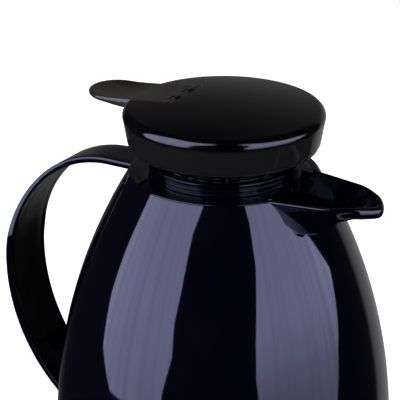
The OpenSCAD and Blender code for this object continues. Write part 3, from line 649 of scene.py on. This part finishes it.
# ---- Thumb lever
# The flip lever is a satin black moulding that lies in the cap's recess. Its rounded rear end is hollowed for the
# thumb, its knuckles turn on the pin, and an arm with a fork reaches under the rod's head.
lever_black = moulding("lever_black", (0.009, 0.0080, 0.0072), (0.026, 0.0230, 0.0210), 0.30, grain=0.10, patch=80)
nodes, links = lever_black.node_tree.nodes, lever_black.node_tree.links
place = nodes.new("ShaderNodeTexCoord")
split = nodes.new("ShaderNodeSeparateXYZ")
links.new(place.outputs["Normal"], split.inputs[0])
level = nodes.new("ShaderNodeMapRange")
level.inputs["From Min"].default_value = 0.75
level.inputs["From Max"].default_value = 0.96
level.inputs["To Min"].default_value = 0.2
links.new(split.outputs["Z"], level.inputs["Value"])
# The lever's top is satin and its sides are polished
painted_band_sheen_and_lever_satin = nodes.new("ShaderNodeMath")
painted_band_sheen_and_lever_satin.operation = "MULTIPLY"
shader = next(n for n in nodes if n.type == "BSDF_PRINCIPLED")
links.new(shader.inputs["Roughness"].links[0].from_socket, painted_band_sheen_and_lever_satin.inputs[0])
links.new(level.outputs["Result"], painted_band_sheen_and_lever_satin.inputs[1])
links.new(painted_band_sheen_and_lever_satin.outputs[0], shader.inputs["Roughness"])


def curve(knots, x):
    """Smooth height through knots (x, z) in falling order of x."""
    x = min(max(x, knots[-1][0]), knots[0][0])
    for i in range(len(knots) - 1):
        if x >= knots[i + 1][0]:
            break
    (xa, za), (xb, zb) = knots[i], knots[i + 1]
    before = knots[max(0, i - 1)]
    after = knots[min(len(knots) - 1, i + 2)]
    slope_a = (zb - before[1]) / (xb - before[0])
    slope_b = (after[1] - za) / (after[0] - xa)
    t, run = (x - xa) / (xb - xa), xb - xa
    return ((2 * t ** 3 - 3 * t * t + 1) * za + (t ** 3 - 2 * t * t + t) * run * slope_a
            + (3 * t * t - 2 * t ** 3) * zb + (t ** 3 - t * t) * run * slope_b)


lever_front, round_x, lever_half = -18.7, -54, 12.3
hinge_x, hinge_z = -20.8, 221.0
lever_top = [(-18.7, 222.9), (-28.1, 221.95), (-38.4, 220.7), (-48.0, 219.7), (-55.0, 219.25), (-66.3, 219.3)]
lever_low = [(-18.7, 220.5), (-20.8, 220.5), (-23.3, 219.4), (-30.1, 217.4), (-43.0, 216.1), (-55.0, 216.9),
             (-66.3, 217.6)]


def lever_height(x, y):
    line = curve(lever_top, x)
    dish = 265.95 - math.sqrt(48 ** 2 - (x - round_x) ** 2 - y * y)
    gap = max(0.0, 0.5 - abs(line - dish)) / 0.5
    return min(line, dish) - gap * gap * 0.125


def lever_ring(off, height):
    half, side = lever_half - off, []
    for k in range(27):
        side.append((lever_front + (round_x - lever_front) * k / 26, half))
    for k in range(1, 40):
        a = math.pi * k / 40
        side.append((round_x - half * math.sin(a), half * math.cos(a)))
    side += [(x, -y) for x, y in side[26::-1]]
    return [(x, y, height(x, y)) for x, y in side]


# Rings from the middle of the underside, round both edges, to the middle of the top
plate_rings = [lever_ring(12.3 - 11.7 * k / 6 if k < 6 else 0.6, lambda x, y: curve(lever_low, x)) for k in range(7)]
for k in range(1, 5):
    a = math.pi / 2 * k / 4
    plate_rings.append(lever_ring(0.6 * (1 - math.sin(a)), lambda x, y: curve(lever_low, x) + 0.6 * (1 - math.cos(a))))
for k in range(7):
    a = math.pi / 2 * k / 6
    plate_rings.append(lever_ring(0.9 * (1 - math.cos(a)), lambda x, y: lever_height(x, y) - 0.9 * (1 - math.sin(a))))
for k in range(1, 15):
    plate_rings.append(lever_ring(0.9 + 11.4 * k / 14, lever_height))
plate_points, plate_faces = lofted(plate_rings, closed_ring=False, caps=False)
row = len(plate_rings[0])
plate_faces.append(tuple([i * row for i in range(len(plate_rings))]
                         + [i * row + row - 1 for i in reversed(range(len(plate_rings)))]))
lever = make_piece("flip_lever", (plate_points, plate_faces), lever_black, "lever", ["thumb_lever"])


def across(outline, low_y, high_y, turns=40):
    """Round solid on the hinge's axis, from (radius, share of the length) pairs."""
    points, faces = turned([(r, low_y + (high_y - low_y) * s) for r, s in outline], turns, closed=False)
    return [(x + hinge_x, z, y + hinge_z) for x, y, z in points], faces


def weld_on(piece, *shapes):
    for shape in shapes:
        work_on(piece, "UNION", shape_mesh("tool", shape))


arm_line = rounded([(-22.0, 221.0, 0.3), (-18.9, 221.6, 0.5), (-13.6, 214.5, 0.8), (-10.2, 214.5, 0.5),
                    (-10.2, 211.3, 0.8), (-14.5, 211.3, 1.5)], 4)
fork_line = rounded([(-13.5, 211.2, 0.8), (-13.5, 214.6, 0.8), (-5.7, 214.6, 0.3), (-5.7, 211.2, 0.3)], 4)
prong_r = 1.65
prong_line = [(-12.1, 211.25), (-12.1, 214.55)] + [(prong_r * math.sin(a), 212.9 + prong_r * math.cos(a))
                                                   for a in (math.pi * k / 12 for k in range(13))]


def moved(shape, y):
    return [(px, py + y, pz) for px, py, pz in shape[0]], shape[1]


barrel = across([(0, 0), (1.83, 0), (2.03, 0.01), (2.03, 0.99), (1.83, 1), (0, 1)], -12.15, 12.15, 37)
weld_on(lever, barrel, side_plate(arm_line, 2.6, 0.2), side_plate(fork_line, 7.0, 0.2),
        moved(side_plate(prong_line, 1.25, 0.3), -5.7), moved(side_plate(prong_line, 1.25, 0.3), 5.7))
pin_hole_r = 1.28
cut_away(lever, across([(0, 0), (pin_hole_r, 0), (pin_hole_r, 1), (0, 1)], -14, 14),
         block(-23.3, -17, 2.6, 8.0, 217.5, 226), block(-23.3, -17, -8.0, -2.6, 217.5, 226))

# ---- Valve
# A stainless rod runs through the boss. The lever's fork lifts its flanged head, and with it the black plate and the
# grey seal that close the hole in the stopper's floor.
dress(steel, "valve_rod")
dress(inner_black, "rod_head", "valve_plate")

# ---- Studio
# Camera, white paper, two tall soft windows and a dim room. The jug is seen from a little above, between its spout
# and its handle, through a long lens.
camera_azimuth = math.radians(31.5)
camera_elevation = math.radians(21.65)
camera_distance = 1.1838
camera_back = Vector((math.sin(camera_azimuth) * math.cos(camera_elevation),
                      -math.cos(camera_azimuth) * math.cos(camera_elevation), math.sin(camera_elevation)))
camera_right = Vector((math.cos(camera_azimuth), math.sin(camera_azimuth), 0))
camera_data = bpy.data.cameras.new("camera")
camera_data.lens = 248.6
camera_data.sensor_width = 36
camera_data.clip_start = 0.05
camera_data.clip_end = 20
camera = bpy.data.objects.new("camera", camera_data)
camera.location = Vector((0, 0, 0.178376)) - camera_right * 0.010243 + camera_back * camera_distance
camera.rotation_mode = "QUATERNION"
camera.rotation_quaternion = (-camera_back).to_track_quat("-Z", "Y")
bpy.context.scene.collection.objects.link(camera)
bpy.context.scene.camera = camera
bpy.context.scene.view_settings.view_transform = "Standard"


def toward(azimuth, elevation):
    """Direction by the camera's angles: 0 looks along +Y, 90 along -X."""
    a, e = math.radians(azimuth), math.radians(elevation)
    return Vector((math.sin(a) * math.cos(e), -math.cos(a) * math.cos(e), math.sin(e)))


# Room: white to the camera and through clear pieces; gloss sees a dim room with the white backdrop behind the jug
world = bpy.data.worlds.new("room")
bpy.context.scene.world = world
world.use_nodes = True
nodes, links = world.node_tree.nodes, world.node_tree.links
nodes.clear()
way = nodes.new("ShaderNodeTexCoord")
facing = nodes.new("ShaderNodeVectorMath")
facing.operation = "DOT_PRODUCT"
facing.inputs[1].default_value = toward(184, -12)
links.new(way.outputs["Generated"], facing.inputs[0])
backdrop = nodes.new("ShaderNodeValToRGB")
for spot, level in ((0.60, 0.035), (0.69, 0.052), (0.77, 0.085), (0.84, 0.125), (0.91, 0.20)):
    backdrop.color_ramp.elements.new(spot).color = (level, level * 0.97, level * 0.98, 1)
backdrop.color_ramp.elements[0].position = 0.52
backdrop.color_ramp.elements[0].color = (0.012, 0.011, 0.020, 1)
backdrop.color_ramp.elements[-1].position = 0.985
backdrop.color_ramp.elements[-1].color = (0.33, 0.33, 0.33, 1)
links.new(facing.outputs["Value"], backdrop.inputs["Fac"])
flank = nodes.new("ShaderNodeVectorMath")
flank.operation = "DOT_PRODUCT"
flank.inputs[1].default_value = toward(70, 0)
links.new(way.outputs["Generated"], flank.inputs[0])
edge = nodes.new("ShaderNodeMapRange")
edge.interpolation_type = "SMOOTHSTEP"
edge.inputs["From Min"].default_value = -0.13
edge.inputs["From Max"].default_value = 0.0
edge.inputs["To Min"].default_value = 1.0
edge.inputs["To Max"].default_value = 0.1
links.new(flank.outputs["Value"], edge.inputs["Value"])
room = nodes.new("ShaderNodeBackground")
links.new(backdrop.outputs["Color"], room.inputs["Color"])
links.new(edge.outputs["Result"], room.inputs["Strength"])
dim = nodes.new("ShaderNodeBackground")
dim.inputs["Color"].default_value = (0.95, 0.97, 1, 1)
dim.inputs["Strength"].default_value = 0.25
white = nodes.new("ShaderNodeBackground")
white.inputs["Color"].default_value = (1, 1, 1, 1)
path = nodes.new("ShaderNodeLightPath")
shiny = nodes.new("ShaderNodeMixShader")
links.new(path.outputs["Is Glossy Ray"], shiny.inputs[0])
links.new(dim.outputs[0], shiny.inputs[1])
links.new(room.outputs[0], shiny.inputs[2])
clear = nodes.new("ShaderNodeMath")
clear.operation = "MAXIMUM"
links.new(path.outputs["Is Camera Ray"], clear.inputs[0])
links.new(path.outputs["Is Transmission Ray"], clear.inputs[1])
mix = nodes.new("ShaderNodeMixShader")
out = nodes.new("ShaderNodeOutputWorld")
links.new(clear.outputs[0], mix.inputs[0])
links.new(shiny.outputs[0], mix.inputs[1])
links.new(white.outputs[0], mix.inputs[2])
links.new(mix.outputs[0], out.inputs[0])

# White paper that fades to the background's white for the camera and keeps the jug's shadow
paper_material, nodes, links = new_material("white_paper")
paper = nodes.new("ShaderNodeBsdfDiffuse")
paper.inputs["Color"].default_value = (0.82, 0.82, 0.82, 1)
glow = nodes.new("ShaderNodeEmission")
path = nodes.new("ShaderNodeLightPath")
seen = nodes.new("ShaderNodeMath")
seen.operation = "MAXIMUM"
links.new(path.outputs["Is Camera Ray"], seen.inputs[0])
links.new(path.outputs["Is Transmission Ray"], seen.inputs[1])
strength = nodes.new("ShaderNodeMath")
strength.operation = "MULTIPLY"
strength.inputs[1].default_value = 0.75
links.new(seen.outputs[0], strength.inputs[0])
links.new(strength.outputs[0], glow.inputs["Strength"])
add = nodes.new("ShaderNodeAddShader")
links.new(paper.outputs[0], add.inputs[0])
links.new(glow.outputs[0], add.inputs[1])
# Gloss sees only the lit part of the paper round the jug, and the room beyond it
place = nodes.new("ShaderNodeTexCoord")
away = nodes.new("ShaderNodeVectorMath")
away.operation = "LENGTH"
links.new(place.outputs["Object"], away.inputs[0])
fade = nodes.new("ShaderNodeMapRange")
fade.interpolation_type = "SMOOTHSTEP"
fade.inputs["From Min"].default_value = 0.08
fade.inputs["From Max"].default_value = 0.15
fade.inputs["To Min"].default_value = 0.0
fade.inputs["To Max"].default_value = 1.0
links.new(away.outputs["Value"], fade.inputs["Value"])
hidden = nodes.new("ShaderNodeMath")
hidden.operation = "MULTIPLY"
links.new(fade.outputs["Result"], hidden.inputs[0])
links.new(path.outputs["Is Glossy Ray"], hidden.inputs[1])
beyond = nodes.new("ShaderNodeBsdfTransparent")
lit = nodes.new("ShaderNodeMixShader")
links.new(hidden.outputs[0], lit.inputs[0])
links.new(add.outputs[0], lit.inputs[1])
links.new(beyond.outputs[0], lit.inputs[2])
out = nodes.new("ShaderNodeOutputMaterial")
links.new(lit.outputs[0], out.inputs[0])
mesh = bpy.data.meshes.new("paper")
half = 0.62
mesh.from_pydata([(-half, -half, 0), (half, -half, 0), (half, half, 0), (-half, half, 0)], [], [(0, 1, 2, 3)])
paper = bpy.data.objects.new("paper", mesh)
bpy.context.scene.collection.objects.link(paper)
mesh.materials.append(paper_material)


window_away = 0.95


def soft_window(name, rows, power, color, low_share, streak):
    """Upright panel round the jug; rows give its left and right edge, in degrees, at each elevation."""
    material, nodes, links = new_material(name)
    place = nodes.new("ShaderNodeTexCoord")
    split = nodes.new("ShaderNodeSeparateXYZ")
    links.new(place.outputs["Object"], split.inputs[0])
    fall = nodes.new("ShaderNodeMapRange")
    fall.interpolation_type = "SMOOTHSTEP"
    fall.inputs["From Min"].default_value = -0.1
    fall.inputs["From Max"].default_value = 0.35
    fall.inputs["To Min"].default_value = power * low_share
    fall.inputs["To Max"].default_value = power
    links.new(split.outputs["Z"], fall.inputs["Value"])
    upright = nodes.new("ShaderNodeMapping")
    upright.inputs["Scale"].default_value = (9, 9, 0.15)
    links.new(place.outputs["Object"], upright.inputs["Vector"])
    folds = nodes.new("ShaderNodeTexNoise")
    folds.inputs["Scale"].default_value = 1.6
    folds.inputs["Detail"].default_value = 4
    links.new(upright.outputs[0], folds.inputs["Vector"])
    sheer = nodes.new("ShaderNodeMapRange")
    sheer.inputs["From Min"].default_value = 0.3
    sheer.inputs["From Max"].default_value = 0.7
    sheer.inputs["To Min"].default_value = 1 - streak
    sheer.inputs["To Max"].default_value = 1 + streak
    links.new(folds.outputs["Fac"], sheer.inputs["Value"])
    level = nodes.new("ShaderNodeMath")
    level.operation = "MULTIPLY"
    links.new(fall.outputs["Result"], level.inputs[0])
    links.new(sheer.outputs["Result"], level.inputs[1])
    path = nodes.new("ShaderNodeLightPath")
    cast = nodes.new("ShaderNodeMix")
    cast.data_type = "RGBA"
    cast.inputs[6].default_value = (0.8, 0.8, 0.82, 1)
    cast.inputs[7].default_value = (*color, 1)
    links.new(path.outputs["Is Glossy Ray"], cast.inputs[0])
    glow = nodes.new("ShaderNodeEmission")
    links.new(cast.outputs[2], glow.inputs["Color"])
    links.new(level.outputs[0], glow.inputs["Strength"])
    out = nodes.new("ShaderNodeOutputMaterial")
    links.new(glow.outputs[0], out.inputs[0])
    points, faces = [], []
    steps = 12
    for elevation, left, right in rows:
        for k in range(steps + 1):
            azimuth = math.radians(left + (right - left) * k / steps)
            points.append((window_away * math.sin(azimuth), -window_away * math.cos(azimuth),
                           0.13 + window_away * math.tan(math.radians(elevation))))
    for i in range(len(rows) - 1):
        for k in range(steps):
            a = i * (steps + 1) + k
            faces.append((a, a + 1, a + steps + 2, a + steps + 1))
    mesh = bpy.data.meshes.new(name)
    mesh.from_pydata(points, [], faces)
    panel = bpy.data.objects.new(name, mesh)
    bpy.context.scene.collection.objects.link(panel)
    mesh.materials.append(material)
    panel.visible_camera = False


window_blue = (0.66, 0.67, 1.0)
soft_window("window_left", [(-12, -50, -11), (-6, -62, -10), (3, -66, -5), (11, -66, -6), (18, -65, -4),
                            (32, -65, -2), (42, -65, 8), (52, -62, 16), (60, -60, 20)], 4.8, window_blue, 0.8, 0.12)
soft_window("window_right", [(-14, 54, 112), (-5, 54, 118), (-1, 53, 123), (7, 54, 130), (17, 57, 120),
                             (25, 60, 104), (35, 60, 88), (44, 54, 75), (52, 49, 66)], 4.6, window_blue, 0.45, 0.12)
